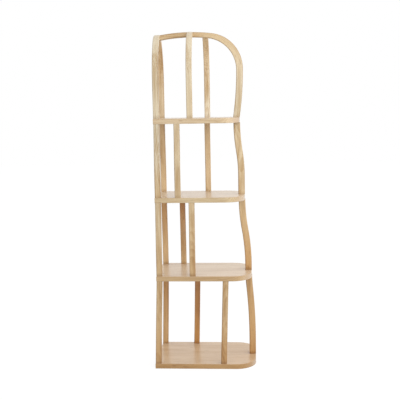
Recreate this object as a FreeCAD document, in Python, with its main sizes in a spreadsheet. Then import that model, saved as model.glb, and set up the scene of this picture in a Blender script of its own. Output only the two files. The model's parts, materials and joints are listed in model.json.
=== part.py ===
import FreeCAD, Part
import enum
import os
import Sketcher

# A free-standing wooden shelf unit: four shelves with one square and one rounded end, held apart
# by wavy sticks that are doweled between them, under a crown of bent ribs and an arched rail.
# Millimetres. +Z is up, the front looks towards -Y and the square end towards -X. The origin is
# on the floor, under the middle of the bottom shelf.

os.makedirs("parts", exist_ok=True)

SIZES = {
    # Shelves: length from the square end to the rounded end, and depth from front to back
    "bottom_length": 500,
    "lower_length": 469,
    "middle_length": 438,
    "upper_length": 416,
    "bottom_depth": 342,
    "lower_depth": 313,
    "middle_depth": 286,
    "upper_depth": 262,
    "shelf_thick": 25,
    "nose_radius": 100,
    "shelf_ease": 2,
    # How far the square ends above stand in from the bottom shelf's square end
    "square_step": 13,
    # Clear heights between the shelves, and the crown's height above the upper shelf
    "tier_one_rise": 415,
    "tier_two_rise": 362,
    "tier_three_rise": 357,
    "crown_rise": 417,
    # Sticks: the left posts and spindles share one section, the right posts have their own
    "stick_width": 28.5,
    "stick_depth": 26,
    "post_width": 33,
    "post_depth": 28.5,
    "stick_round": 5,
    # How far sticks stand in from the shelves' edges, and right posts out over the rounded ends
    "stick_foot_inset": 2,
    "stick_head_inset": 1,
    "post_foot_reach": 0.5,
    "post_head_reach": 2,
    "left_inset": 1,
    # Middles of the spindles, from the square end of the shelf that they stand on
    "front_one": 341,
    "front_two": 179.5,
    "front_three": 113,
    "front_four": 177,
    "back_one": 184,
    "back_two": 111,
    "back_three": 248,
    "back_four": 250,
    # Crown: the ribs, which swell, spring, bend over to the middle and stand proud of the rail
    "rib_swell": 3,
    "rib_proud": 2,
    "rib_spring": 196,
    "arch_radius": 95,
    # Crown: the rail, which swells over the rounded end, turns and runs left as a ridge
    "rail_height": 25,
    "rail_swell": 18,
    "elbow_outer": 173,
    "elbow_inner": 156,
    "crown_radius": 850,
    "crown_peak": 172,
    # Dowels, and the thinner pins in the rail's end
    "dowel_width": 8,
    "dowel_in_shelf": 9,
    "dowel_in_stick": 25,
    "pin_width": 6,
    "pin_in_arch": 15,
    "dowel_play": 0.1,
    "dowel_relief": 0.5,
}

# Each tier's wave as shares of its height: the end of the upright foot, then the turn of the curve
STRAIGHT_SHARES = {"one": 0.20, "two": 0.07, "three": 0.27}
TURN_SHARES = {"one": 0.85, "two": 0.58, "three": 0.60}

SHELVES = ("bottom", "lower", "middle", "upper")
TIERS = ("one", "two", "three", "four")
STICKS = ("front_left_post", "back_left_post", "front_spindle", "back_spindle", "right_post")
LINE, UPRIGHT_START, UPRIGHT_END = "line", "upright_start", "upright_end"
ACROSS, DEEP, UPRIGHT = FreeCAD.Vector(1, 0, 0), FreeCAD.Vector(0, 1, 0), FreeCAD.Vector(0, 0, 1)


class Side(enum.IntEnum):
    """The side of the middle plane that a stick stands on, as a factor."""

    FRONT = -1
    BACK = 1


class SketchPoint(enum.IntEnum):
    """The point of a sketch's geometry that a constraint takes hold of."""

    START = 1
    END = 2
    CENTRE = 3


doc = FreeCAD.newDocument("shelf_unit")
sizes = doc.addObject("Spreadsheet::Sheet", "sizes")
places = doc.addObject("App::VarSet", "places")
pieces = []


def fill_sheet():
    """Write each driving dimension beside its name, under an alias."""
    for row, (alias, value) in enumerate(SIZES.items(), start=1):
        sizes.set(f"A{row}", alias)
        sizes.set(f"B{row}", str(value))
        sizes.setAlias(f"B{row}", alias)
    doc.recompute()


def derive(name, formula):
    """Keep a place or size that follows from the sheet under a name of its own."""
    places.addProperty("App::PropertyFloat", name)
    places.setExpression(name, formula)
    doc.recompute()
    return f"places.{name}"


def number(formula):
    """The present value of a formula in sheet and place names."""
    return float(sizes.evalExpression(formula))


def derive_levels():
    """Undersides, tops and square ends of the shelves, and how each tier leans between them."""
    base = derive("bottom_base", "0")
    left = derive("bottom_left", "-sizes.bottom_length / 2")
    for shelf, above, tier in zip(SHELVES, SHELVES[1:], TIERS):
        rise = f"sizes.tier_{tier}_rise"
        top = derive(f"{shelf}_top", f"{base} + sizes.shelf_thick")
        base = derive(f"{above}_base", f"{top} + {rise}")
        left_above = derive(f"{above}_left", "places.bottom_left + sizes.square_step")
        lean = derive(f"tier_{tier}_lean", f"{left_above} - {left}")
        derive(f"tier_{tier}_slope", f"sqrt({rise}^2 + {lean}^2)")
        left = left_above
    derive(f"{SHELVES[-1]}_top", f"{base} + sizes.shelf_thick")
    derive("left_stick", "sizes.left_inset + sizes.stick_width / 2")


def derive_rail():
    """Corners of the arched rail, across from the upper square end and up from that shelf."""
    derive("crown_centre", "sizes.crown_rise - sizes.crown_radius")
    derive("rail_under", "sizes.crown_radius - sizes.rail_height")
    derive("rail_foot", end_out("right_post", "upper", "foot"))
    derive("rail_belly", "places.rail_foot + sizes.rail_swell")
    derive("rail_start", "sizes.left_inset + sizes.stick_width")
    sides = {
        "outer": ("sizes.crown_radius", "places.rail_belly - sizes.elbow_outer"),
        "inner": ("places.rail_under", "places.rail_belly - sizes.post_width - sizes.elbow_inner"),
    }
    for side, (radius, across) in sides.items():
        offset = derive(f"elbow_{side}_off", f"{across} - sizes.crown_peak")
        reach = derive(f"elbow_{side}_reach", f"{radius} - sizes.elbow_{side}")
        lift = derive(f"elbow_{side}_lift", f"sqrt({reach}^2 - {offset}^2)")
        derive(f"elbow_{side}_up", f"places.crown_centre + {lift}")
        derive(f"turn_{side}_across", f"sizes.crown_peak + {offset} * {radius} / {reach}")
        derive(f"turn_{side}_up", f"places.crown_centre + {lift} * {radius} / {reach}")
        derive(f"start_{side}_up", rail_level(radius, "places.rail_start"))
    derive("pin_up", "(places.start_outer_up + places.start_inner_up) / 2")
    derive("pin_deep", "sizes.post_depth / 4")


def rail_level(radius, across):
    """Height of a crown curve over the upper shelf, at a distance from its square end."""
    return f"places.crown_centre + sqrt({radius}^2 - ({across} - sizes.crown_peak)^2)"


def derive_ribs():
    """Tops of the ribs over the ridge, and where the sweep up meets the curve over the top."""
    belly = derive("rib_belly", f"{end_out('front_spindle', 'upper', 'foot')} + sizes.rib_swell")
    small = "sizes.arch_radius"
    spots = {"left": "places.rail_start", "front": "sizes.front_four", "back": "sizes.back_four"}
    for rib, across in spots.items():
        ridge = derive(f"{rib}_ridge", rail_level("sizes.crown_radius", across))
        derive(f"{rib}_rib_middle", f"{ridge} - sizes.rail_height / 2")
        hub = derive(f"{rib}_rib_hub", f"{ridge} + sizes.rib_proud - {small}")
        climb = derive(f"{rib}_rib_climb", f"{hub} - sizes.rib_spring")
        spread = f"(2 * ({belly} - {small}))"
        sweep = derive(f"{rib}_rib_sweep", f"({belly}^2 + {climb}^2 - {small}^2) / {spread}")
        for side, radius in (("outer", small), ("inner", f"({small} - sizes.stick_depth)")):
            share = f"{radius} / ({sweep} - {small})"
            derive(f"{rib}_meet_{side}_out", f"({sweep} - {belly}) * {share}")
            derive(f"{rib}_meet_{side}_up", f"{hub} + {climb} * {share}")


def new_body(label, across, deep, up):
    """A body for one piece, whose place follows three formulas."""
    body = doc.addObject("PartDesign::Body", label)
    body.Label = label
    for axis, formula in zip("xyz", (across, deep, up)):
        body.setExpression(f"Placement.Base.{axis}", formula)
    pieces.append(body)
    return body


def new_sketch(body, name, role, offset="0"):
    """A sketch on one of the body's origin planes, moved along the normal by a formula."""
    plane = [plane for plane in body.Origin.OriginFeatures if plane.Role == role][0]
    sketch = body.newObject("Sketcher::SketchObject", f"{body.Name}_{name}")
    sketch.AttachmentSupport = [(plane, "")]
    sketch.MapMode = "FlatFace"
    sketch.setExpression("AttachmentOffset.Base.z", offset)
    return sketch


def bind(sketch, constraint, formula):
    """Add a dimension to the sketch and tie its value to a formula."""
    index = sketch.addConstraint(constraint)
    sketch.setExpression(f"Constraints[{index}]", formula)


def place_point(sketch, geometry, point, across, up):
    """Tie a point's distances from the sketch's origin to two formulas."""
    for kind, formula in (("DistanceX", across), ("DistanceY", up)):
        constraint = Sketcher.Constraint(kind, -1, 1, geometry, point, number(formula))
        bind(sketch, constraint, formula)


def upright_centre(upright, other):
    """Centre of the arc that stands upright at one point and passes through the other."""
    run = other - upright
    return upright + ACROSS * (run.Length ** 2 / (2 * run.x))


def add_arc(sketch, start, end, centre):
    """Add the short arc between two points; returns it with its ends in drawing order."""
    turns_left = (start - centre).cross(end - centre).z > 0
    first, last = (start, end) if turns_left else (end, start)
    circle = Part.Circle(centre, UPRIGHT, (start - centre).Length)
    arc = Part.ArcOfCircle(circle, circle.parameter(first), circle.parameter(last))
    geometry = sketch.addGeometry(arc, False)
    if turns_left:
        return geometry, SketchPoint.START, SketchPoint.END
    return geometry, SketchPoint.END, SketchPoint.START


def draw_edge(sketch, edge, start, end):
    """Draw one edge of an outline and give it the constraint that shapes it."""
    if edge == LINE:
        geometry = sketch.addGeometry(Part.LineSegment(start, end), False)
        return geometry, SketchPoint.START, SketchPoint.END
    if edge == UPRIGHT_START:
        drawn = add_arc(sketch, start, end, upright_centre(start, end))
        level = drawn[1]
    elif edge == UPRIGHT_END:
        drawn = add_arc(sketch, start, end, upright_centre(end, start))
        level = drawn[2]
    else:
        across, up, radius = edge
        drawn = add_arc(sketch, start, end, FreeCAD.Vector(number(across), number(up), 0))
        bind(sketch, Sketcher.Constraint("Radius", drawn[0], number(radius)), radius)
        return drawn
    arc = drawn[0]
    sketch.addConstraint(Sketcher.Constraint("Horizontal", arc, SketchPoint.CENTRE, arc, level))
    return drawn


def draw_outline(sketch, corners, edges):
    """Draw a closed outline whose corners follow formulas.

    An edge is a line, an arc that stands upright at its start or its end, or a tuple of
    formulas for an arc's centre and radius.
    """
    spots = [FreeCAD.Vector(number(across), number(up), 0) for across, up in corners]
    drawn = []
    for edge, start, end in zip(edges, spots, spots[1:] + spots[:1]):
        drawn.append(draw_edge(sketch, edge, start, end))
    for (geometry, _, last), (after, first, _) in zip(drawn, drawn[1:] + drawn[:1]):
        sketch.addConstraint(Sketcher.Constraint("Coincident", geometry, last, after, first))
    for (across, up), (geometry, first, _) in zip(corners, drawn):
        place_point(sketch, geometry, first, across, up)


def pad_outline(body, sketch, length, side_type):
    """Give the outline its thickness."""
    pad = body.newObject("PartDesign::Pad", f"{body.Name}_pad")
    pad.Profile = sketch
    pad.SideType = side_type
    pad.setExpression("Length", length)
    doc.recompute()
    return pad


def round_edges(body, pad, chosen, radius):
    """Round the pad's edges that a test picks."""
    names = [f"Edge{index}" for index, edge in enumerate(pad.Shape.Edges, start=1) if chosen(edge)]
    fillet = body.newObject("PartDesign::Fillet", f"{body.Name}_round")
    fillet.Base = (pad, names)
    fillet.setExpression("Radius", radius)
    doc.recompute()


def is_long_edge(edge):
    """Whether an edge runs along a stick: it is an arc, or a straight edge up from the foot."""
    if isinstance(edge.Curve, Part.Circle):
        return True
    heights = [vertex.Point.z for vertex in edge.Vertexes]
    return abs(min(heights)) <= edge.Tolerance < max(heights)


def is_shelf_rim(edge):
    """Whether an edge is on a shelf's rim or is an upright corner of its square end."""
    ends = [vertex.Point for vertex in edge.Vertexes]
    rises = abs(ends[0].z - ends[1].z) > edge.Tolerance
    return not rises or abs(ends[0].x) <= edge.Tolerance


def bore(body, name, role, spots, offset, depth, along_normal, width="sizes.dowel_width"):
    """Drill dowel holes from a plane, and make sure that they take wood away."""
    sketch = new_sketch(body, name, role, offset)
    radius = f"{width} / 2 + sizes.dowel_play"
    for across, up in spots:
        centre = FreeCAD.Vector(number(across), number(up), 0)
        circle = Part.Circle(centre, UPRIGHT, number(radius))
        geometry = sketch.addGeometry(circle, False)
        bind(sketch, Sketcher.Constraint("Radius", geometry, number(radius)), radius)
        place_point(sketch, geometry, SketchPoint.CENTRE, across, up)
    before = body.Shape.Volume
    pocket = body.newObject("PartDesign::Pocket", f"{body.Name}_{name}_bore")
    pocket.Profile = sketch
    pocket.Reversed = along_normal
    pocket.setExpression("Length", f"{depth} + sizes.dowel_relief")
    doc.recompute()
    if body.Shape.Volume >= before:
        raise RuntimeError(f"{body.Label}: {name} bores nothing")


def end_out(stick, shelf, end):
    """How far the outer face of a stick's foot or head stands out on a shelf.

    It is measured from the shelf's square end on a right post, and from the middle plane on the
    other sticks.
    """
    if stick == "right_post":
        return f"(sizes.{shelf}_length + sizes.post_{end}_reach)"
    return f"(sizes.{shelf}_depth / 2 - sizes.stick_{end}_inset)"


def stick_across(stick, tier):
    """Middle of a front or back stick, from the square end."""
    if stick.endswith("left_post"):
        return "places.left_stick"
    return f"sizes.{stick.split('_')[0]}_{tier}"


def stick_side(stick):
    """Which side of the middle plane a front or back stick stands on."""
    return Side.FRONT if stick.startswith("front") else Side.BACK


def dowel_spot(stick, tier, shelf, end):
    """Middle of a stick's foot or head on a shelf, from the square end and the middle plane."""
    out = end_out(stick, shelf, end)
    if stick == "right_post":
        return f"{out} - sizes.post_width / 2", "0"
    return stick_across(stick, tier), f"{stick_side(stick)} * ({out} - sizes.stick_depth / 2)"


def dowel_spots(tier, shelf, end):
    """Where all five sticks of a tier meet a shelf."""
    return [dowel_spot(stick, tier, shelf, end) for stick in STICKS]


def make_shelf(index):
    """One shelf: a board with a square end and a rounded end, eased rims and dowel holes."""
    shelf = SHELVES[index]
    length = f"sizes.{shelf}_length"
    half = f"sizes.{shelf}_depth / 2"
    nose = "sizes.nose_radius"
    body = new_body(f"{shelf}_shelf", f"places.{shelf}_left", "0", f"places.{shelf}_base")
    corners = [
        ("0", f"-{half}"),
        (f"{length} - {nose}", f"-{half}"),
        (length, f"-{half} + {nose}"),
        (length, f"{half} - {nose}"),
        (f"{length} - {nose}", half),
        ("0", half),
    ]
    sketch = new_sketch(body, "outline", "XY_Plane")
    draw_outline(sketch, corners, [LINE, UPRIGHT_END, LINE, UPRIGHT_START, LINE, LINE])
    pad = pad_outline(body, sketch, "sizes.shelf_thick", "One side")
    round_edges(body, pad, is_shelf_rim, "sizes.shelf_ease")
    feet = dowel_spots(TIERS[index], shelf, "foot")
    bore(body, "feet", "XY_Plane", feet, "sizes.shelf_thick", "sizes.dowel_in_shelf", False)
    if index > 0:
        heads = dowel_spots(TIERS[index - 1], shelf, "head")
        bore(body, "heads", "XY_Plane", heads, "0", "sizes.dowel_in_shelf", True)


def draw_wave(sketch, factor, foot, head, width, tier, rise):
    """Outline of a wavy stick: it stands upright, leans in and straightens at the head.

    foot and head are how far out its outer face stands there, times factor.
    """
    straight_share = STRAIGHT_SHARES[tier]
    turn_share = TURN_SHARES[tier]
    lean_share = (turn_share - straight_share) / (1 - straight_share)
    outer = [
        (foot, "0"),
        (foot, f"{rise} * {straight_share}"),
        (f"{foot} - ({foot} - {head}) * {lean_share}", f"{rise} * {turn_share}"),
        (head, rise),
    ]
    inner = [(f"{out} - {width}", up) for out, up in reversed(outer)]
    corners = [(f"{factor} * ({out})", up) for out, up in outer + inner]
    rising = [LINE, UPRIGHT_START, UPRIGHT_END]
    falling = [UPRIGHT_START, UPRIGHT_END, LINE]
    draw_outline(sketch, corners, rising + [LINE] + falling + [LINE])


def bore_ends(body, foot_spot, head_spot, rise):
    """Dowel holes up from the foot and down from the head of a stick."""
    depth = "sizes.dowel_in_stick"
    bore(body, "foot", "XY_Plane", [foot_spot], "0", depth, True)
    bore(body, "head", "XY_Plane", [head_spot], rise, depth, False)


def make_wave_stick(stick, index):
    """A front or back stick between two shelves.

    It is curved in the plane that runs front to back. That plane leans with the square ends, and
    the stick's thickness runs level across it, so that foot and head lie flat on the shelves.
    """
    tier, shelf, above = TIERS[index], SHELVES[index], SHELVES[index + 1]
    lean, rise = f"places.tier_{tier}_lean", f"sizes.tier_{tier}_rise"
    across = f"places.{shelf}_left + {stick_across(stick, tier)}"
    body = new_body(f"{stick}_tier_{index + 1}", across, "0", f"places.{shelf}_top")
    sketch = new_sketch(body, "outline", "YZ_Plane")
    tilt = f"atan({lean} / {rise})"
    sketch.AttachmentOffset.Rotation = FreeCAD.Rotation(ACROSS, number(tilt))
    sketch.setExpression("AttachmentOffset.Rotation.Angle", tilt)
    foot, head = end_out(stick, shelf, "foot"), end_out(stick, above, "head")
    draw_wave(sketch, stick_side(stick), foot, head, "sizes.stick_depth", tier, f"places.tier_{tier}_slope")
    pad = pad_outline(body, sketch, "sizes.stick_width", "Symmetric")
    pad.UseCustomVector = True
    pad.Direction = ACROSS
    pad.AlongSketchNormal = False
    doc.recompute()
    round_edges(body, pad, is_long_edge, "sizes.stick_round")
    foot_spot = ("0", dowel_spot(stick, tier, shelf, "foot")[1])
    head_spot = (lean, dowel_spot(stick, tier, above, "head")[1])
    bore_ends(body, foot_spot, head_spot, rise)


def make_right_post(index):
    """A right post between two shelves, curved in the plane that runs left to right."""
    tier, shelf, above = TIERS[index], SHELVES[index], SHELVES[index + 1]
    lean, rise = f"places.tier_{tier}_lean", f"sizes.tier_{tier}_rise"
    body = new_body(f"right_post_tier_{index + 1}", f"places.{shelf}_left", "0", f"places.{shelf}_top")
    sketch = new_sketch(body, "outline", "XZ_Plane")
    foot, head = end_out("right_post", shelf, "foot"), end_out("right_post", above, "head")
    draw_wave(sketch, Side.BACK, foot, f"({lean} + {head})", "sizes.post_width", tier, rise)
    pad = pad_outline(body, sketch, "sizes.post_depth", "Symmetric")
    round_edges(body, pad, is_long_edge, "sizes.stick_round")
    foot_spot = dowel_spot("right_post", tier, shelf, "foot")
    head_across, head_deep = dowel_spot("right_post", tier, above, "head")
    bore_ends(body, foot_spot, (f"{lean} + {head_across}", head_deep), rise)


def make_rib(stick, rib, gap):
    """A stick of the crown: it swells outwards, sweeps up and bends over to the middle plane.

    rib names its set of heights, and gap is the distance from the middle plane at which it ends.
    """
    across = f"places.upper_left + {stick_across(stick, TIERS[-1])}"
    body = new_body(f"{stick}_tier_{len(TIERS)}", across, "0", "places.upper_top")
    foot, depth = end_out(stick, "upper", "foot"), "sizes.stick_depth"
    hub, spring = f"places.{rib}_rib_hub", "sizes.rib_spring"
    over = ("0", hub, "sizes.arch_radius")
    under = ("0", hub, f"(sizes.arch_radius - {depth})")
    outline = [
        (foot, "0"),
        ("places.rib_belly", spring),
        (f"places.{rib}_meet_outer_out", f"places.{rib}_meet_outer_up"),
        (gap, f"{hub} + sqrt({over[-1]}^2 - ({gap})^2)"),
        (gap, f"{hub} + sqrt({under[-1]}^2 - ({gap})^2)"),
        (f"places.{rib}_meet_inner_out", f"places.{rib}_meet_inner_up"),
        (f"places.rib_belly - {depth}", spring),
        (f"{foot} - {depth}", "0"),
    ]
    corners = [(f"{stick_side(stick)} * ({out})", up) for out, up in outline]
    edges = [UPRIGHT_END, UPRIGHT_START, over, LINE, under, UPRIGHT_END, UPRIGHT_START, LINE]
    sketch = new_sketch(body, "outline", "YZ_Plane")
    draw_outline(sketch, corners, edges)
    pad = pad_outline(body, sketch, "sizes.stick_width", "Symmetric")
    round_edges(body, pad, is_long_edge, "sizes.stick_round")
    foot_spot = ("0", dowel_spot(stick, TIERS[-1], "upper", "foot")[1])
    bore(body, "foot", "XY_Plane", [foot_spot], "0", "sizes.dowel_in_stick", True)
    return body


def make_left_ribs():
    """The two bent left posts, which meet over the middle and take the rail's pins."""
    for stick in ("front_left_post", "back_left_post"):
        body = make_rib(stick, "left", "0")
        spot = (f"{stick_side(stick)} * places.pin_deep", "places.pin_up")
        bore(body, "pin", "YZ_Plane", [spot], "sizes.stick_width / 2", "sizes.pin_in_arch", False,
             "sizes.pin_width")


def make_spindle_ribs():
    """The two bent spindles, which end against the rail's front and back faces."""
    for end, side in (("front", Side.FRONT), ("back", Side.BACK)):
        body = make_rib(f"{end}_spindle", end, "sizes.post_depth / 2")
        spot = ("0", f"places.{end}_rib_middle")
        face = f"{-side} * sizes.post_depth / 2"
        bore(body, "rail", "XZ_Plane", [spot], face, "sizes.dowel_in_stick", side == Side.FRONT)


def make_rail():
    """The arched rail: an upright that swells, turns over an elbow and runs left as a ridge."""
    body = new_body("top_arch_rail", "places.upper_left", "0", "places.upper_top")
    width = "sizes.post_width"
    corners = [
        ("places.rail_foot", "0"),
        ("places.rail_belly", "places.elbow_outer_up"),
        ("places.turn_outer_across", "places.turn_outer_up"),
        ("places.rail_start", "places.start_outer_up"),
        ("places.rail_start", "places.start_inner_up"),
        ("places.turn_inner_across", "places.turn_inner_up"),
        (f"places.rail_belly - {width}", "places.elbow_inner_up"),
        (f"places.rail_foot - {width}", "0"),
    ]
    ridge_top = ("sizes.crown_peak", "places.crown_centre", "sizes.crown_radius")
    ridge_under = ("sizes.crown_peak", "places.crown_centre", "places.rail_under")
    edges = [UPRIGHT_END, UPRIGHT_START, ridge_top, LINE,
             ridge_under, UPRIGHT_END, UPRIGHT_START, LINE]
    sketch = new_sketch(body, "outline", "XZ_Plane")
    draw_outline(sketch, corners, edges)
    pad = pad_outline(body, sketch, "sizes.post_depth", "Symmetric")
    round_edges(body, pad, is_long_edge, "sizes.stick_round")
    foot_spot = dowel_spot("right_post", TIERS[-1], "upper", "foot")
    bore(body, "foot", "XY_Plane", [foot_spot], "0", "sizes.dowel_in_stick", True)
    for end, side in (("front", Side.FRONT), ("back", Side.BACK)):
        spot = (f"sizes.{end}_four", f"places.{end}_rib_middle")
        face = f"{-side} * sizes.post_depth / 2"
        bore(body, end, "XZ_Plane", [spot], face, "sizes.dowel_in_shelf", side == Side.BACK)
    pins = [(f"{side} * places.pin_deep", "places.pin_up") for side in Side]
    bore(body, "pins", "YZ_Plane", pins, "places.rail_start", "sizes.dowel_in_stick", True,
         "sizes.pin_width")


def make_dowel(name, start, turn, width, length):
    """A plain round dowel from a start point, turned from upright about an axis."""
    dowel = doc.addObject("Part::Cylinder", name)
    dowel.setExpression("Radius", f"{width} / 2")
    dowel.setExpression("Height", length)
    dowel.Placement.Rotation = turn
    for axis, formula in zip("xyz", start):
        dowel.setExpression(f"Placement.Base.{axis}", formula)
    return dowel


def group_dowels(label, dowels):
    """Keep alike dowels together as one piece of separate solids."""
    group = doc.addObject("Part::Compound", label)
    group.Label = label
    group.Links = dowels
    pieces.append(group)


def make_shelf_dowels(index):
    """The dowels that stand in one shelf: in the feet above it and the heads below it."""
    shelf = SHELVES[index]
    ends = [(TIERS[index], "foot", f"places.{shelf}_top - sizes.dowel_in_shelf")]
    if index > 0:
        ends.append((TIERS[index - 1], "head", f"places.{shelf}_base - sizes.dowel_in_stick"))
    length = "sizes.dowel_in_shelf + sizes.dowel_in_stick"
    dowels = []
    for tier, end, up in ends:
        for across, deep in dowel_spots(tier, shelf, end):
            start = (f"places.{shelf}_left + {across}", deep, up)
            name = f"{shelf}_dowel_{len(dowels) + 1}"
            dowels.append(make_dowel(name, start, FreeCAD.Rotation(), "sizes.dowel_width", length))
    group_dowels(f"{shelf}_shelf_dowels", dowels)


def make_crown_dowels():
    """The dowels between rail and spindles, and the pins between rail and left posts."""
    dowels = []
    pins = []
    for end, side in (("front", Side.FRONT), ("back", Side.BACK)):
        start = (
            f"places.upper_left + sizes.{end}_four",
            f"{side} * (sizes.post_depth / 2 - sizes.dowel_in_shelf)",
            f"places.upper_top + places.{end}_rib_middle",
        )
        turn = FreeCAD.Rotation(UPRIGHT, DEEP * side)
        length = "sizes.dowel_in_shelf + sizes.dowel_in_stick"
        dowels.append(make_dowel(f"{end}_rail_dowel", start, turn, "sizes.dowel_width", length))
        start = (
            "places.upper_left + places.rail_start - sizes.pin_in_arch",
            f"{side} * places.pin_deep",
            "places.upper_top + places.pin_up",
        )
        turn = FreeCAD.Rotation(UPRIGHT, ACROSS)
        length = "sizes.pin_in_arch + sizes.dowel_in_stick"
        pins.append(make_dowel(f"{end}_rail_pin", start, turn, "sizes.pin_width", length))
    group_dowels("rail_dowels", dowels)
    group_dowels("rail_end_pins", pins)


def check_document():
    """Stop if any object failed or any piece is empty or invalid."""
    for item in doc.Objects:
        if "Invalid" in item.State or "Error" in item.State:
            raise RuntimeError(f"{item.Label} failed: {item.State}")
    for piece in pieces:
        if piece.Shape.isNull() or not piece.Shape.isValid():
            raise RuntimeError(f"{piece.Label} has no valid shape")


def write_pieces():
    """Write each piece to a file of its own name."""
    for piece in pieces:
        piece.Shape.exportStep(f"parts/{piece.Label}.step")


fill_sheet()
derive_levels()
derive_rail()
derive_ribs()
for level in range(len(SHELVES)):
    make_shelf(level)
for level in range(len(TIERS) - 1):
    for upright_stick in STICKS[:-1]:
        make_wave_stick(upright_stick, level)
    make_right_post(level)
make_left_ribs()
make_spindle_ribs()
make_rail()
for level in range(len(SHELVES)):
    make_shelf_dowels(level)
make_crown_dowels()
doc.recompute()
check_document()
write_pieces()
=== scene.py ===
"""Looks of a wooden shelf unit: grained and lacquered wood, a pale studio floor, soft light, a camera.

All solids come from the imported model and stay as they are. This script gives each of them a wood
of its own, whose grain runs along the piece and follows the bends of the crown.
"""

import json
import logging
import math
from dataclasses import dataclass, field, replace
from enum import Enum

import bpy
import numpy as np
from mathutils import Matrix, Vector

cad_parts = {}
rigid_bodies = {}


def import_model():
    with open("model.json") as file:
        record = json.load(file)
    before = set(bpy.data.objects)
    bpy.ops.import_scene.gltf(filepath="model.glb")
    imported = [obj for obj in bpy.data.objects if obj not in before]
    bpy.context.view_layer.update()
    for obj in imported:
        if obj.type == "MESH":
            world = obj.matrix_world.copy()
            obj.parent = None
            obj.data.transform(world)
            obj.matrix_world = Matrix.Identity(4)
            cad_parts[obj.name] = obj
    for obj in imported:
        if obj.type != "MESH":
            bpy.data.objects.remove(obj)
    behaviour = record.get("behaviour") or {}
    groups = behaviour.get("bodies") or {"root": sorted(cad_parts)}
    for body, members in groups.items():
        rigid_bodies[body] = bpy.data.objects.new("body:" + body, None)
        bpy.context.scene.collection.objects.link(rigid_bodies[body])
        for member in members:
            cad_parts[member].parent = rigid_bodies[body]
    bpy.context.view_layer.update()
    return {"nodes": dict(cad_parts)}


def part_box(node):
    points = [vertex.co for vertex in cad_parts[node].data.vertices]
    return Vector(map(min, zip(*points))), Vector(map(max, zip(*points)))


for leftover in list(bpy.data.objects):
    bpy.data.objects.remove(leftover)
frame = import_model()

LOG = logging.getLogger("shelf_unit")

Colour = tuple[float, float, float]
Point = tuple[float, float, float]
Range = tuple[float, float]
Tone = tuple[float, float]
Socket = bpy.types.NodeSocket

WHITE: Colour = (1.0, 1.0, 1.0)
FALLING: Range = (1.0, 0.0)
CENTRED: Range = (-0.5, 0.5)

# How far red, green and blue follow a wood's tone, in which light and shade are painted: blue follows most,
# so painted light is paler and whiter, painted shade darker and warmer
TONE_LEAN: Colour = (0.21, 0.47, 0.86)


def from_srgb(red: int, green: int, blue: int) -> Colour:
    """Turn a display colour into the linear one that shaders use.

    Each channel c of 0 to 1 becomes ((c + 0.055) / 1.055) to the power 2.4, or c / 12.92 near black.

    Args:
        red, green, blue: channels from 0 to 255.

    Returns:
        The linear colour.
    """
    shown = np.array([red, green, blue]) / 255.0
    linear = np.where(shown > 0.04045, ((shown + 0.055) / 1.055) ** 2.4, shown / 12.92)
    return tuple(float(channel) for channel in linear)


def tone_tint(tone: float) -> Colour:
    """A factor for each channel, paler above 0 and warmer below: e to the power of tone times lean. Above 0
    it paints light, below 0 shade.
    """
    return tuple(math.exp(tone * lean) for lean in TONE_LEAN)


class GrainRun(Enum):
    """Which way the grain of a piece runs."""

    LENGTHWISE = "along the shelf, from the square end to the rounded end"
    UPRIGHT = "straight up a stick"
    BENT_BACK = "up a rib and round its bend to the middle"
    BENT_LEFT = "up the rail, round its elbow and left along the ridge"


class StickRow(Enum):
    """The row that a stick stands in, with a tint for its sticks; the back row's warmer tint is painted
    warm shade.
    """

    FRONT = (1.00, 1.00, 1.00)
    # Painted warm shade on the back row
    BACK = (1.12, 1.04, 0.95)
    RIGHT = (1.05, 1.02, 0.97)

    @classmethod
    def of(cls, kind: str) -> "StickRow":
        """The row that a kind of stick is named after."""
        return cls[kind.split("_")[0].upper()]


@dataclass(frozen=True)
class Bend:
    """The bend that the grain follows: its centre in the plane of the bend, and its middle radius."""

    out: float
    up: float
    radius: float


@dataclass(frozen=True)
class Grain:
    """Sockets of the coordinates along the grain, across it and through the piece, in metres."""

    along: Socket
    across: Socket
    through: Socket


@dataclass(frozen=True)
class Figure:
    """Noise in the wood: how fine it is, how it is drawn out along the grain, and what of it shows."""

    scale: float
    stretch: float
    detail: float
    shown: Range = (0.0, 1.0)
    roughness: float = 0.5
    offset: float = 31.0


FIBRES = Figure(scale=620.0, stretch=0.022, detail=4.0, shown=(0.30, 0.70), roughness=0.62)
PORES = Figure(scale=1500.0, stretch=0.06, detail=1.0, shown=(0.60, 0.74))
FLECKS = Figure(scale=85.0, stretch=0.22, detail=1.0, shown=(0.66, 0.78))
CLOUDS = Figure(scale=9.0, stretch=0.35, detail=2.0, shown=(0.25, 0.75))
STREAKS = Figure(scale=75.0, stretch=0.05, detail=2.0, shown=(0.25, 0.75))
WANDER = Figure(scale=2.2, stretch=1.0, detail=2.0, offset=9.0)
RIPPLE = Figure(scale=26.0, stretch=0.25, detail=2.0, offset=4.0)


@dataclass(frozen=True)
class Cut:
    """Where a piece was cut from the log, as four numbers from 0 to 1."""

    pith_turn: float
    pith_far: float
    shade: float
    start: float


@dataclass(frozen=True)
class Growth:
    """How rings grow: the pith's distance, how far they stray, in metres, and how each one shades."""

    pith_near: float = 0.035
    pith_far: float = 0.11
    wander: float = 0.045
    ripple: float = 0.0035
    rise: Range = (0.15, 0.88)
    fall: Range = (0.90, 1.0)


@dataclass(frozen=True)
class Staves:
    """How a shelf is glued up: the width of staves and half a glue line, in metres, and how they differ."""

    width: float = 0.062
    glue_half: float = 0.0007
    glue_weight: float = 0.14
    tone_spread: float = 0.09
    pith_spread: float = 0.16
    along_spread: float = 5.0
    seed_step: float = 7.37


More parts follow.
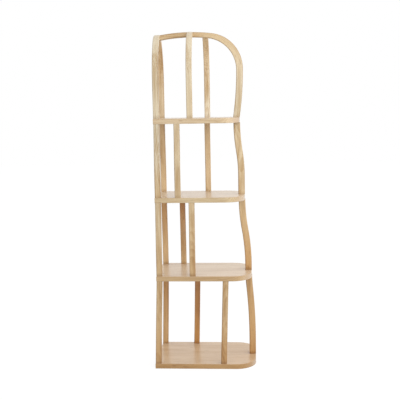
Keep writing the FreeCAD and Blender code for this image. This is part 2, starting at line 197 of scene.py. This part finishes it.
@dataclass(frozen=True)
class Masks:
    """Where ends, edges, tops and feet begin, by the normal or in metres, and how uneven the painted shade
    on edges is.
    """

    end_of_shelf: Range = (0.35, 0.98)
    end_of_stick: Range = (0.97, 1.0)
    edge_turn: Range = (0.15, 0.5)
    top_turn: Range = (0.2, 0.9)
    # Painted contact shade at a stick's foot: its reach and how it wanders
    foot_shade_reach: Range = (0.008, 0.028)
    foot_shade_wander: float = 0.016
    # How unevenly the painted shade on edges lies
    edge_shade_clouds: Range = (0.3, 0.7)
    edge_shade_share: Range = (0.6, 1.4)


@dataclass(frozen=True)
class Lacquer:
    """The lacquer: its gloss, and how rings, fibres, pores and edges show in its roughness and relief."""

    roughness: float = 0.42
    coat: float = 0.25
    coat_roughness: float = 0.24
    index: float = 1.5
    fibre_rough: float = 0.22
    pore_rough: float = 0.08
    edge_rough: float = -0.05
    ring_relief: float = 0.35
    pore_relief: float = -0.55
    glue_relief: float = -0.6
    relief_weight: float = 0.16
    relief_depth: float = 0.0004


@dataclass(frozen=True)
class WoodFinish:
    """One wood under its lacquer: its colours, and how strongly each part of its figure shows."""

    pale: Colour
    warm: Colour
    deep: Colour
    ring_pitch: float = 0.0042
    ring_weight: float = 0.32
    fibre_weight: float = 0.36
    cloud_weight: float = 0.75
    streak_weight: float = 0.60
    pore_weight: float = 0.30
    fleck_weight: float = 0.40
    end_weight: float = 0.30
    # Painted shade on rounded edges and at the feet of sticks
    edge_weight: float = 0.26
    foot_shade_weight: float = 0.0
    crest_weight: float = 0.0
    piece_spread: float = 0.22
    # Painted light and shade on a shelf's long sides
    painted_side_tint: Colour | None = None
    growth: Growth = Growth()
    staves: Staves | None = None
    masks: Masks = Masks()
    lacquer: Lacquer = Lacquer()

    def tinted(self, tint: Colour) -> "WoodFinish":
        """The same wood in another tint.

        Args:
            tint: a factor for each channel of its colours.

        Returns:
            The tinted wood.
        """
        pale, warm, deep = (
            tuple(channel * factor for channel, factor in zip(shade, tint))
            for shade in (self.pale, self.warm, self.deep)
        )
        return replace(self, pale=pale, warm=warm, deep=deep)


class Board:
    """The node tree of a material or world, with short ways to add and join nodes."""

    def __init__(self, owner: bpy.types.ID) -> None:
        """Empty the owner's tree and keep it.

        Args:
            owner: the material or world.
        """
        owner.use_nodes = True
        self.tree = owner.node_tree
        self.tree.nodes.clear()

    def put(self, kind: str, settings: dict | None = None, **inputs: object) -> bpy.types.Node:
        """Add a node and feed its inputs.

        Args:
            kind: the node's type name.
            settings: attributes of the node.
            inputs: values or sockets by input name, with spaces as underscores.

        Returns:
            The node.
        """
        node = self.tree.nodes.new(kind)
        for name, value in (settings or {}).items():
            setattr(node, name, value)
        for name, value in inputs.items():
            self.feed(node.inputs[name.replace("_", " ")], value)
        return node

    def feed(self, target: Socket, value: object) -> None:
        """Link a socket to an input, or set the input's own value.

        Args:
            target: the input.
            value: the socket or value.
        """
        if isinstance(value, bpy.types.NodeSocket):
            self.tree.links.new(value, target)
        else:
            target.default_value = value

    def math(self, operation: str, *values: object) -> Socket:
        """Add a Math node.

        Args:
            operation: what it does.
            values: one to three values or sockets.

        Returns:
            The result.
        """
        node = self.tree.nodes.new("ShaderNodeMath")
        node.operation = operation
        for target, value in zip(node.inputs, values):
            self.feed(target, value)
        return node.outputs[0]

    def combine(self, x: object, y: object, z: object) -> Socket:
        """Three values or sockets as one vector."""
        return self.put("ShaderNodeCombineXYZ", X=x, Y=y, Z=z).outputs[0]

    def split(self, vector: Socket) -> tuple[Socket, Socket, Socket]:
        """The three parts of a vector."""
        return tuple(self.put("ShaderNodeSeparateXYZ", Vector=vector).outputs)

    def length(self, first: Socket, second: Socket) -> Socket:
        """The square root of the sum of two squares."""
        squares = self.math("ADD", self.math("POWER", first, 2.0), self.math("POWER", second, 2.0))
        return self.math("SQRT", squares)

    def spread(self, value: Socket, shown: Range, to: Range = (0.0, 1.0)) -> Socket:
        """Map a value from one range to another, clamped and smooth at both ends.

        Args:
            value: the value.
            shown: the range that it comes from.
            to: the range that it goes to.

        Returns:
            The mapped value.
        """
        node = self.put("ShaderNodeMapRange", {"interpolation_type": "SMOOTHSTEP"}, Value=value)
        for name, number in zip(("From Min", "From Max", "To Min", "To Max"), (*shown, *to)):
            node.inputs[name].default_value = number
        return node.outputs["Result"]

    def blend(self, share: object, first: object, second: object, mode: str = "MIX") -> Socket:
        """Mix or multiply two colours.

        Args:
            share: how much of the second colour shows.
            first, second: colours or sockets.
            mode: the way to blend.

        Returns:
            The blended colour.
        """
        node = self.put("ShaderNodeMix", {"data_type": "RGBA", "blend_type": mode})
        for name, value in (("Factor_Float", share), ("A_Color", first), ("B_Color", second)):
            target = next(socket for socket in node.inputs if socket.identifier == name)
            self.feed(target, (*value, 1.0) if isinstance(value, tuple) else value)
        return next(socket for socket in node.outputs if socket.identifier == "Result_Color")


@dataclass
class Layers:
    """Sockets of a piece's coordinates and of what shows in its wood; those that it lacks are None."""

    spot: Socket
    normal: Socket
    grain: Grain
    rings: Socket
    fibres: Socket
    pores: Socket
    clouds: Socket
    edge: Socket
    end: Socket | None
    stave: Socket | None
    glue: Socket | None


@dataclass
class WoodPiece:
    """The wood of one piece: where it was cut from the log, and how its grain runs."""

    node: str
    finish: WoodFinish
    run: GrainRun
    seed: int
    bend: Bend | None = None
    # Tones of foot and head, which paint light and shade
    tone: Tone = (0.0, 0.0)

    def dress(self) -> None:
        """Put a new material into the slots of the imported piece."""
        piece = frame["nodes"][self.node]
        material = bpy.data.materials.new(f"wood_{self.node}")
        self.fill(Board(material))
        for slot in piece.material_slots:
            slot.material = material
        LOG.info("dressed %s, grain %s", self.node, self.run.name.lower())

    def cut(self) -> Cut:
        """Where the piece was cut, at random but the same in each run."""
        return Cut(*np.random.default_rng(self.seed).random(4).tolist())

    def grain(self, board: Board, spot: Socket) -> Grain:
        """Coordinates that run with the grain.

        On a bend with centre (c, d), u = max(out - c, 0) and v = max(up - d, 0): the distance from
        the centre line is the length of (u, v), and the way along is min(up, d), plus the middle
        radius times the angle of (u, v), plus max(c - out, 0) beyond the bend.

        Args:
            board: the node tree.
            spot: the Object coordinates.

        Returns:
            The grain's coordinates.
        """
        low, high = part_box(self.node)
        middle = (low + high) / 2
        x, y, z = board.split(spot)
        if self.run is GrainRun.LENGTHWISE:
            return Grain(x, board.math("SUBTRACT", y, middle.y), board.math("SUBTRACT", z, middle.z))
        if self.run is GrainRun.UPRIGHT:
            return Grain(z, board.math("SUBTRACT", x, middle.x), board.math("SUBTRACT", y, middle.y))
        if self.run is GrainRun.BENT_BACK:
            out, side = board.math("ABSOLUTE", y), board.math("SUBTRACT", x, middle.x)
        else:
            out, side = x, board.math("SUBTRACT", y, middle.y)
        past = board.math("SUBTRACT", out, self.bend.out)
        ahead = board.math("MAXIMUM", past, 0.0)
        above = board.math("MAXIMUM", board.math("SUBTRACT", z, self.bend.up), 0.0)
        angle = board.math("ARCTAN2", above, ahead)
        beyond = board.math("MAXIMUM", board.math("MULTIPLY", past, -1.0), 0.0)
        below = board.math("MINIMUM", z, self.bend.up)
        along = board.math("ADD", below, board.math("MULTIPLY_ADD", angle, self.bend.radius, beyond))
        across = board.math("SUBTRACT", board.length(ahead, above), self.bend.radius)
        return Grain(along, across, side)

    def figured(self, board: Board, figure: Figure, grain: Grain) -> Socket:
        """Noise drawn out along the grain, from a start of this piece's own.

        The noise is read at ((along + start times offset) times stretch, across, through).

        Args:
            board: the node tree.
            figure: the noise.
            grain: the grain's coordinates.

        Returns:
            The noise, from about 0 to 1.
        """
        along = board.math("ADD", grain.along, self.cut().start * figure.offset)
        drawn_out = board.math("MULTIPLY", along, figure.stretch)
        noise = board.put(
            "ShaderNodeTexNoise",
            Vector=board.combine(drawn_out, grain.across, grain.through),
            Scale=figure.scale,
            Detail=figure.detail,
            Roughness=figure.roughness,
        )
        return noise.outputs["Fac"]

    def split_staves(self, board: Board, grain: Grain) -> tuple[Grain, Socket, Socket]:
        """Split a shelf into glued staves, each from another place in the log.

        The stave's number is the whole part of across divided by the stave's width, and the glue
        line is where the part left over is near 0 or 1.

        Args:
            board: the node tree.
            grain: the grain's coordinates.

        Returns:
            The coordinates in the staves, a random number for each stave, and the glue line.
        """
        staves = self.finish.staves
        row = board.math("DIVIDE", grain.across, staves.width)
        row = board.math("ADD", row, self.seed * staves.seed_step)
        number = board.math("FLOOR", row)
        noise = board.put("ShaderNodeTexWhiteNoise", {"noise_dimensions": "1D"}, W=number)
        stave = noise.outputs["Value"]
        aside = board.math("ABSOLUTE", board.math("SUBTRACT", board.math("FRACT", row), 0.5))
        glue = board.spread(aside, (0.5 - staves.glue_half / staves.width, 0.5))
        along = board.math("MULTIPLY_ADD", stave, staves.along_spread, grain.along)
        return replace(grain, along=along), stave, glue

    def rings(self, board: Board, grain: Grain, stave: Socket | None) -> Socket:
        """Growth rings, from 0 in early wood to 1 at the late wood line.

        The ring is the distance from a pith line beside the piece, plus a slow wander along the
        grain and a small ripple, divided by the ring's pitch; its left-over part rises slowly and
        falls fast.

        Args:
            board: the node tree.
            grain: the grain's coordinates.
            stave: a random number for each stave, or None.

        Returns:
            The ring's strength.
        """
        growth = self.finish.growth
        cut = self.cut()
        reach = growth.pith_near + cut.pith_far * (growth.pith_far - growth.pith_near)
        turn = cut.pith_turn * math.tau
        pith_across, pith_through = reach * math.cos(turn), reach * math.sin(turn)
        if stave is not None:
            pith_across = board.math("MULTIPLY_ADD", stave, self.finish.staves.pith_spread, pith_across)
            pith_through = -reach
        aside = board.math("SUBTRACT", grain.across, pith_across)
        away = board.math("SUBTRACT", grain.through, pith_through)
        distance = board.length(aside, away)
        for figure, stray in ((WANDER, growth.wander), (RIPPLE, growth.ripple)):
            distance = board.math("MULTIPLY_ADD", self.figured(board, figure, grain), stray, distance)
        phase = board.math("FRACT", board.math("DIVIDE", distance, self.finish.ring_pitch))
        rise = board.spread(phase, growth.rise)
        fall = board.spread(phase, growth.fall, FALLING)
        return board.math("MULTIPLY", rise, fall)

    def edge_masks(self, board: Board, normal: Socket) -> tuple[Socket | None, Socket]:
        """Where the surface is end grain and where it is a rounded edge, from its own normal.

        End grain is the normal's part along the grain. On a round between two faces the product of
        the normal's two parts is greatest half way.

        Args:
            board: the node tree.
            normal: the normal in object space.

        Returns:
            The end grain's share, or None on bent pieces, and the edge's share.
        """
        masks = self.finish.masks
        x, y, z = (board.math("ABSOLUTE", part) for part in board.split(normal))
        end = None
        if self.run is GrainRun.LENGTHWISE:
            end = board.spread(x, masks.end_of_shelf)
            edge = board.math("MULTIPLY", board.length(x, y), z)
        elif self.run is GrainRun.BENT_LEFT:
            edge = board.math("MULTIPLY", board.length(x, z), y)
        else:
            edge = board.math("MULTIPLY", board.length(y, z), x)
        if self.run is GrainRun.UPRIGHT:
            end = board.spread(z, masks.end_of_stick)
        return end, board.spread(edge, masks.edge_turn)

    def layers(self, board: Board) -> Layers:
        """Lay out all that shows in the wood.

        Args:
            board: the node tree.

        Returns:
            The layers.
        """
        coordinates = board.put("ShaderNodeTexCoord").outputs
        spot, normal = coordinates["Object"], coordinates["Normal"]
        grain = self.grain(board, spot)
        stave, glue = None, None
        if self.finish.staves:
            grain, stave, glue = self.split_staves(board, grain)
        end, edge = self.edge_masks(board, normal)
        return Layers(
            spot=spot,
            normal=normal,
            grain=grain,
            rings=self.rings(board, grain, stave),
            fibres=self.figured(board, FIBRES, grain),
            pores=board.spread(self.figured(board, PORES, grain), PORES.shown),
            clouds=self.figured(board, CLOUDS, grain),
            edge=edge,
            end=end,
            stave=stave,
            glue=glue,
        )

    def fresh_colour(self, board: Board, layers: Layers) -> Socket:
        """The colour of the fresh wood.

        Rings, fibres, clouds, streaks and the piece's own shade add up to the share of the warm
        colour over the pale one; pores and flecks bring in the deep one.

        Args:
            board: the node tree.
            layers: what shows in the wood.

        Returns:
            The colour.
        """
        finish = self.finish
        shade = (self.cut().shade - 0.5) * finish.piece_spread
        fibres = board.spread(layers.fibres, FIBRES.shown)
        clouds = board.spread(layers.clouds, CLOUDS.shown, CENTRED)
        streaks = board.spread(self.figured(board, STREAKS, layers.grain), STREAKS.shown, CENTRED)
        flecks = board.spread(self.figured(board, FLECKS, layers.grain), FLECKS.shown)
        share = board.math("MULTIPLY", layers.rings, finish.ring_weight)
        share = board.math("MULTIPLY_ADD", fibres, finish.fibre_weight, share)
        share = board.math("MULTIPLY_ADD", clouds, finish.cloud_weight, share)
        share = board.math("MULTIPLY_ADD", streaks, finish.streak_weight, share)
        share = board.math("ADD", share, shade)
        if layers.stave is not None:
            lean = board.math("SUBTRACT", layers.stave, 0.5)
            share = board.math("MULTIPLY_ADD", lean, finish.staves.tone_spread, share)
        share = board.math("MAXIMUM", board.math("MINIMUM", share, 1.0), 0.0)
        colour = board.blend(share, finish.pale, finish.warm)
        for layer, weight in ((layers.pores, finish.pore_weight), (flecks, finish.fleck_weight)):
            colour = board.blend(board.math("MULTIPLY", layer, weight), colour, finish.deep)
        return colour

    def sides(self, board: Board, layers: Layers) -> Socket:
        """Where a shelf shows its long sides, which take painted light and shade.

        The share is 1 where the normal is level and falls to 0 where it turns up or down, and it
        is times what the end grain leaves.

        Args:
            board: the node tree.
            layers: what shows in the wood.

        Returns:
            The share of the sides.
        """
        rise = board.math("ABSOLUTE", board.split(layers.normal)[2])
        level = board.spread(rise, self.finish.masks.top_turn, FALLING)
        return board.math("MULTIPLY", level, board.math("SUBTRACT", 1.0, layers.end))

    def crest(self, board: Board, layers: Layers) -> Socket:
        """Where a bent piece turns up, as a share of the deep colour that grows with the normal's rise.

        Args:
            board: the node tree.
            layers: what shows in the wood.

        Returns:
            The share of the deep colour.
        """
        rise = board.split(layers.normal)[2]
        return board.spread(rise, self.finish.masks.top_turn, (0.0, self.finish.crest_weight))

    def foot(self, board: Board, layers: Layers) -> Socket:
        """Where painted contact shade darkens a stick at its foot.

        The share is greatest at the foot and falls to 0 over a reach that wanders with the clouds
        of the wood.

        Args:
            board: the node tree.
            layers: what shows in the wood.

        Returns:
            The share of the deep colour.
        """
        masks = self.finish.masks
        above = board.math("SUBTRACT", board.split(layers.spot)[2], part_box(self.node)[0].z)
        wander = board.math("MULTIPLY_ADD", layers.clouds, masks.foot_shade_wander, above)
        return board.spread(wander, masks.foot_shade_reach, (self.finish.foot_shade_weight, 0.0))

    def edge_shade(self, board: Board, layers: Layers) -> Socket:
        """Where painted shade darkens a rounded edge, as the edge's share times one that wanders with the
        clouds of the wood.

        Args:
            board: the node tree.
            layers: what shows in the wood.

        Returns:
            The share of the deep colour.
        """
        masks = self.finish.masks
        uneven = board.spread(layers.clouds, masks.edge_shade_clouds, masks.edge_shade_share)
        return board.math("MULTIPLY", board.math("MULTIPLY", layers.edge, uneven), self.finish.edge_weight)

    def light_and_shade_toned(self, board: Board, spot: Socket, colour: Socket) -> Socket:
        """Turn a stick's colour from the tone of its foot to the tone of its head, painting light and shade
        along it.

        The foot's tint and the head's tint blend smoothly over the height, and the colour is times
        that blend.

        Args:
            board: the node tree.
            spot: the Object coordinates.
            colour: the colour so far.

        Returns:
            The toned colour.
        """
        low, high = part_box(self.node)
        foot, head = (tone_tint(tone) for tone in self.tone)
        tint = board.blend(board.spread(board.split(spot)[2], (low.z, high.z)), foot, head)
        return board.blend(1.0, colour, tint, "MULTIPLY")

    def grained_and_shaded_colour(self, board: Board, layers: Layers, colour: Socket) -> Socket:
        """The wood's colour with its end grain, crest and glue lines, and with light and shade painted on
        its long sides, feet and edges and in its tones.

        Args:
            board: the node tree.
            layers: what shows in the wood.
            colour: the colour of the fresh wood.

        Returns:
            The colour of the finished piece.
        """
        finish = self.finish
        if layers.end is not None:
            end = board.math("MULTIPLY", layers.end, finish.end_weight)
            colour = board.blend(end, colour, finish.deep)
        # Painted light and shade on a shelf's long sides
        if finish.painted_side_tint:
            colour = board.blend(self.sides(board, layers), colour, finish.painted_side_tint, "MULTIPLY")
        if self.bend:
            colour = board.blend(self.crest(board, layers), colour, finish.deep)
        # Painted contact shade at a stick's foot
        if finish.foot_shade_weight:
            colour = board.blend(self.foot(board, layers), colour, finish.deep)
        # Painted shade on rounded edges
        colour = board.blend(self.edge_shade(board, layers), colour, finish.deep)
        if layers.glue is not None:
            glue = board.math("MULTIPLY", layers.glue, finish.staves.glue_weight)
            colour = board.blend(glue, colour, finish.deep)
        # Painted light and shade in the tones of foot and head
        if any(self.tone):
            colour = self.light_and_shade_toned(board, layers.spot, colour)
        return colour

    def roughness(self, board: Board, layers: Layers) -> Socket:
        """The lacquer's roughness, which fibres, pores and edges change.

        Args:
            board: the node tree.
            layers: what shows in the wood.

        Returns:
            The roughness.
        """
        lacquer = self.finish.lacquer
        fibres = board.math("SUBTRACT", layers.fibres, 0.5)
        rough = board.math("MULTIPLY_ADD", fibres, lacquer.fibre_rough, lacquer.roughness)
        rough = board.math("MULTIPLY_ADD", layers.pores, lacquer.pore_rough, rough)
        return board.math("MULTIPLY_ADD", layers.edge, lacquer.edge_rough, rough)

    def relief(self, board: Board, layers: Layers) -> Socket:
        """The normal of the fine relief, in which rings stand up and pores and glue lines sink in.

        Args:
            board: the node tree.
            layers: what shows in the wood.

        Returns:
            The normal.
        """
        lacquer = self.finish.lacquer
        height = board.math("MULTIPLY_ADD", layers.rings, lacquer.ring_relief, layers.fibres)
        height = board.math("MULTIPLY_ADD", layers.pores, lacquer.pore_relief, height)
        if layers.glue is not None:
            height = board.math("MULTIPLY_ADD", layers.glue, lacquer.glue_relief, height)
        bump = board.put(
            "ShaderNodeBump",
            Strength=lacquer.relief_weight,
            Distance=lacquer.relief_depth,
            Height=height,
        )
        return bump.outputs["Normal"]

    def fill(self, board: Board) -> None:
        """Build the wood: its layers, then colour, roughness and relief under a coat of lacquer.

        Args:
            board: the node tree.
        """
        layers = self.layers(board)
        lacquer = self.finish.lacquer
        surface = board.put(
            "ShaderNodeBsdfPrincipled",
            Base_Color=self.grained_and_shaded_colour(board, layers, self.fresh_colour(board, layers)),
            Roughness=self.roughness(board, layers),
            IOR=lacquer.index,
            Coat_Weight=lacquer.coat,
            Coat_Roughness=lacquer.coat_roughness,
            Normal=self.relief(board, layers),
        )
        board.put("ShaderNodeOutputMaterial", Surface=surface.outputs["BSDF"])


SHELF_WOOD = WoodFinish(
    pale=from_srgb(211, 187, 157),
    warm=from_srgb(177, 142, 102),
    deep=from_srgb(137, 99, 61),
    ring_pitch=0.0055,
    ring_weight=0.26,
    cloud_weight=0.40,
    streak_weight=0.22,
    staves=Staves(),
    lacquer=Lacquer(roughness=0.36, coat=0.40, coat_roughness=0.20),
)
STICK_WOOD = WoodFinish(
    pale=from_srgb(211, 185, 144),
    warm=from_srgb(169, 131, 81),
    deep=from_srgb(133, 93, 49),
    # Painted shade on the sticks' rounded edges and at their feet
    edge_weight=0.42,
    foot_shade_weight=0.30,
    crest_weight=0.26,
)
DOWEL_WOOD = WoodFinish(
    pale=from_srgb(226, 205, 172),
    warm=from_srgb(206, 178, 136),
    deep=from_srgb(160, 122, 80),
    ring_pitch=0.003,
    lacquer=Lacquer(roughness=0.62, coat=0.0),
)


@dataclass
class ShelfBoards:
    """The four shelves, each glued up from staves that run along it, with its tone, which paints light and
    shade, and its sides' tint, which paints shade.
    """

    names: tuple[str, ...] = ("bottom_shelf", "lower_shelf", "middle_shelf", "upper_shelf")
    # Painted light and shade: the bottom shelf darker and warmer, the upper ones paler and whiter, standing
    # in for how light falls and for the sheen of the tops
    light_and_shade_tones: tuple[float, ...] = (-0.20, 0.10, 0.25, 0.20)
    # Painted shade on the long sides, deepest and most orange on the bottom shelf, where less light falls
    # on the sides than on the tops; the upper shelf's sides get a little painted light
    painted_side_tints: tuple[Colour, ...] = (
        (0.80, 0.65, 0.40),
        (0.85, 0.75, 0.55),
        (1.00, 1.00, 0.85),
        (1.05, 1.05, 0.95),
    )
    finish: WoodFinish = SHELF_WOOD
    first_seed: int = 11

    def dress(self) -> None:
        """Give each shelf a wood of its own."""
        shelves = zip(self.names, self.light_and_shade_tones, self.painted_side_tints)
        for seed, (name, tone, painted_side_tint) in enumerate(shelves, start=self.first_seed):
            # The tone paints light and shade, the side tint painted shade on the long sides
            finish = replace(self.finish.tinted(tone_tint(tone)), painted_side_tint=painted_side_tint)
            WoodPiece(name, finish, GrainRun.LENGTHWISE, seed).dress()


@dataclass
class TierSticks:
    """The wavy posts and spindles of the three lower tiers, each with the tones of its foot and head, which
    paint light and shade.
    """

    kinds: tuple[str, ...] = (
        "front_left_post",
        "back_left_post",
        "front_spindle",
        "back_spindle",
        "right_post",
    )
    # Painted light and shade: the lower tiers darker and warmer, the front sticks paler at the head, the
    # back sticks darker at the head, where the shelf above shades them
    light_and_shade_tones: tuple[tuple[Tone, ...], ...] = (
        ((-0.70, 0.00), (-0.20, -1.00), (-0.85, 0.05), (-1.05, -1.30), (-0.90, -0.35)),
        ((-0.15, 0.40), (0.00, -0.90), (-0.40, 0.15), (0.35, -1.40), (-0.85, 0.05)),
        ((0.00, 0.90), (0.20, 0.10), (0.30, 0.40), (0.45, 0.25), (0.40, 0.40)),
    )
    # Painted contact shade at the feet, for each tier
    foot_shade_weights: tuple[float, ...] = (0.50, 0.50, 0.30)
    finish: WoodFinish = STICK_WOOD
    first_seed: int = 40

    def dress(self) -> None:
        """Give each stick a wood of its own, with its grain straight up."""
        seed = self.first_seed
        for tier, (light_and_shade_tones, foot_shade_weight) in enumerate(zip(self.light_and_shade_tones, self.foot_shade_weights), start=1):
            for kind, tone in zip(self.kinds, light_and_shade_tones):
                # The row's tint and the tone paint light and shade on the stick, the foot weight contact
                # shade at its foot
                finish = replace(self.finish.tinted(StickRow.of(kind).value), foot_shade_weight=foot_shade_weight)
                WoodPiece(f"{kind}_tier_{tier}", finish, GrainRun.UPRIGHT, seed, tone=tone).dress()
                seed += 1


@dataclass
class Crown:
    """The bent ribs and the arched rail above the upper shelf, with their bends, in metres, and tones,
    which paint light and shade.
    """

    ribs: tuple[str, ...] = (
        "front_left_post_tier_4",
        "back_left_post_tier_4",
        "front_spindle_tier_4",
        "back_spindle_tier_4",
    )
    # Painted light and shade: the ribs paler than the tiers below, the back ribs darker at the head, where
    # less light falls
    rib_light_and_shade_tones: tuple[Tone, ...] = ((0.55, 0.70), (0.85, 0.05), (0.35, 0.65), (1.05, 0.30))
    rib_radius: float = 0.095
    rib_depth: float = 0.026
    rail: str = "top_arch_rail"
    # Painted light on the rail, paler at its low end than at the ridge
    rail_light_and_shade_tone: Tone = (1.00, 0.25)
    rail_width: float = 0.029
    elbow_radius: float = 0.173
    elbow_rise: float = 0.236
    finish: WoodFinish = STICK_WOOD
    first_seed: int = 70

    def dress(self) -> None:
        """Give ribs and rail a wood whose grain follows their bends."""
        for seed, (rib, tone) in enumerate(zip(self.ribs, self.rib_light_and_shade_tones), start=self.first_seed):
            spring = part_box(rib)[1].z - self.rib_radius
            bend = Bend(out=0.0, up=spring, radius=self.rib_radius - self.rib_depth / 2)
            # The row's tint and the tone paint light and shade on the rib
            finish = self.finish.tinted(StickRow.of(rib).value)
            WoodPiece(rib, finish, GrainRun.BENT_BACK, seed, bend, tone).dress()
        low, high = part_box(self.rail)
        middle_radius = self.elbow_radius - self.rail_width / 2
        bend = Bend(out=high.x - self.elbow_radius, up=low.z + self.elbow_rise, radius=middle_radius)
        finish = self.finish.tinted(StickRow.RIGHT.value)
        seed = self.first_seed + len(self.ribs)
        # The tone paints light on the rail
        WoodPiece(self.rail, finish, GrainRun.BENT_LEFT, seed, bend, self.rail_light_and_shade_tone).dress()


@dataclass
class Joinery:
    """The plain dowels and pins inside the joints."""

    upright: tuple[str, ...] = (
        "bottom_shelf_dowels",
        "lower_shelf_dowels",
        "middle_shelf_dowels",
        "upper_shelf_dowels",
    )
    level: tuple[str, ...] = ("rail_dowels", "rail_end_pins")
    finish: WoodFinish = DOWEL_WOOD
    first_seed: int = 90

    def dress(self) -> None:
        """Give the dowels their plain wood."""
        for seed, name in enumerate(self.upright + self.level, start=self.first_seed):
            run = GrainRun.UPRIGHT if name in self.upright else GrainRun.LENGTHWISE
            WoodPiece(name, self.finish, run, seed).dress()


@dataclass
class Lamp:
    """A soft square lamp, aimed at a point: metres, and watts for its power."""

    name: str
    place: Point
    aim: Point
    size: float
    power: float

    def hang(self) -> None:
        """Add the lamp to the scene, unseen in gloss, so that lacquer mirrors the plain surround alone."""
        data = bpy.data.lights.new(self.name, "AREA")
        data.shape = "SQUARE"
        data.size = self.size
        data.energy = self.power
        lamp = bpy.data.objects.new(self.name, data)
        lamp.visible_glossy = False
        lamp.location = self.place
        lamp.rotation_euler = (Vector(self.aim) - Vector(self.place)).to_track_quat("-Z", "Y").to_euler()
        bpy.context.scene.collection.objects.link(lamp)
        LOG.info("hung lamp %s", self.name)


@dataclass
class Studio:
    """A pale floor that keeps a shadow, a white surround and soft lamps."""

    floor_size: float = 24.0
    floor_colour: Colour = (0.6, 0.6, 0.6)
    floor_white: float = 0.78
    floor_glow: float = 1.14
    surround: float = 0.88
    lamps: list[Lamp] = field(
        default_factory=lambda: [
            Lamp("key", place=(1.4, -2.4, 2.6), aim=(0.0, 0.0, 1.0), size=2.4, power=32.0),
            Lamp("side", place=(2.4, -0.3, 1.8), aim=(0.0, 0.0, 0.9), size=2.4, power=30.0),
        ]
    )

    def build(self) -> None:
        """Make floor, surround and lamps."""
        self.lay_floor()
        self.wrap_surround()
        for lamp in self.lamps:
            lamp.hang()
        bpy.context.scene.view_settings.view_transform = "Standard"

    @staticmethod
    def seen_directly(board: Board) -> Socket:
        """Tell rays that see a surface from rays that only light the object.

        Args:
            board: the node tree.

        Returns:
            1 for rays from the camera, from a gloss or through glass, and 0 for other rays.
        """
        paths = board.put("ShaderNodeLightPath").outputs
        mirrored = board.math("MAXIMUM", paths["Is Glossy Ray"], paths["Is Transmission Ray"])
        return board.math("MAXIMUM", paths["Is Camera Ray"], mirrored)

    def lay_floor(self) -> None:
        """A square on the ground whose colour is mostly white to the eye and partly lit."""
        corners = np.array([[-1, -1, 0], [1, -1, 0], [1, 1, 0], [-1, 1, 0]]) * self.floor_size / 2
        mesh = bpy.data.meshes.new("floor")
        mesh.from_pydata(corners.tolist(), [], [[0, 1, 2, 3]])
        floor = bpy.data.objects.new("floor", mesh)
        bpy.context.scene.collection.objects.link(floor)
        material = bpy.data.materials.new("floor_paint")
        board = Board(material)
        lit = board.put("ShaderNodeBsdfDiffuse", Color=(*self.floor_colour, 1.0))
        white = board.put("ShaderNodeEmission", Color=(*WHITE, 1.0), Strength=self.floor_glow)
        share = board.math("MULTIPLY", self.seen_directly(board), self.floor_white)
        mixed = board.put("ShaderNodeMixShader", Fac=share)
        board.feed(mixed.inputs[1], lit.outputs[0])
        board.feed(mixed.inputs[2], white.outputs[0])
        board.put("ShaderNodeOutputMaterial", Surface=mixed.outputs[0])
        mesh.materials.append(material)

    def wrap_surround(self) -> None:
        """A surround that is white to the eye and lights the object softly from all round."""
        world = bpy.data.worlds.new("surround")
        bpy.context.scene.world = world
        board = Board(world)
        seen = self.seen_directly(board)
        strength = board.math("MULTIPLY_ADD", seen, 1.0 - self.surround, self.surround)
        light = board.put("ShaderNodeBackground", Color=(*WHITE, 1.0), Strength=strength)
        board.put("ShaderNodeOutputWorld", Surface=light.outputs[0])


@dataclass
class PhotoCamera:
    """The camera, fitted to the photograph's edges: metres, radians, and millimetres for the lens."""

    place: Point = (0.2336, -3.6882, 1.3118)
    yaw: float = -0.07
    pitch: float = 0.1317
    roll: float = 0.018
    lens: float = 66.6
    sensor: float = 36.0

    def set_up(self) -> None:
        """Add the camera and make it the scene's own.

        The view direction comes from yaw about the vertical and pitch below the horizon; right and
        down are square to it, and turn together by the roll.
        """
        level, rise = math.cos(self.pitch), -math.sin(self.pitch)
        ahead = Vector((math.sin(self.yaw) * level, math.cos(self.yaw) * level, rise))
        flat_right = Vector((math.cos(self.yaw), -math.sin(self.yaw), 0.0))
        flat_down = ahead.cross(flat_right)
        right = math.cos(self.roll) * flat_right + math.sin(self.roll) * flat_down
        down = math.cos(self.roll) * flat_down - math.sin(self.roll) * flat_right
        turn = Matrix((right, -down, -ahead)).transposed().to_4x4()
        data = bpy.data.cameras.new("camera")
        data.lens = self.lens
        data.sensor_width = self.sensor
        camera = bpy.data.objects.new("camera", data)
        camera.matrix_world = Matrix.Translation(Vector(self.place)) @ turn
        bpy.context.scene.collection.objects.link(camera)
        bpy.context.scene.camera = camera


def main() -> None:
    """Dress the shelf unit and set up the studio and the camera."""
    logging.basicConfig(level=logging.INFO)
    for part in (ShelfBoards(), TierSticks(), Crown(), Joinery()):
        part.dress()
    Studio().build()
    PhotoCamera().set_up()


if __name__ == "__main__":
    main()
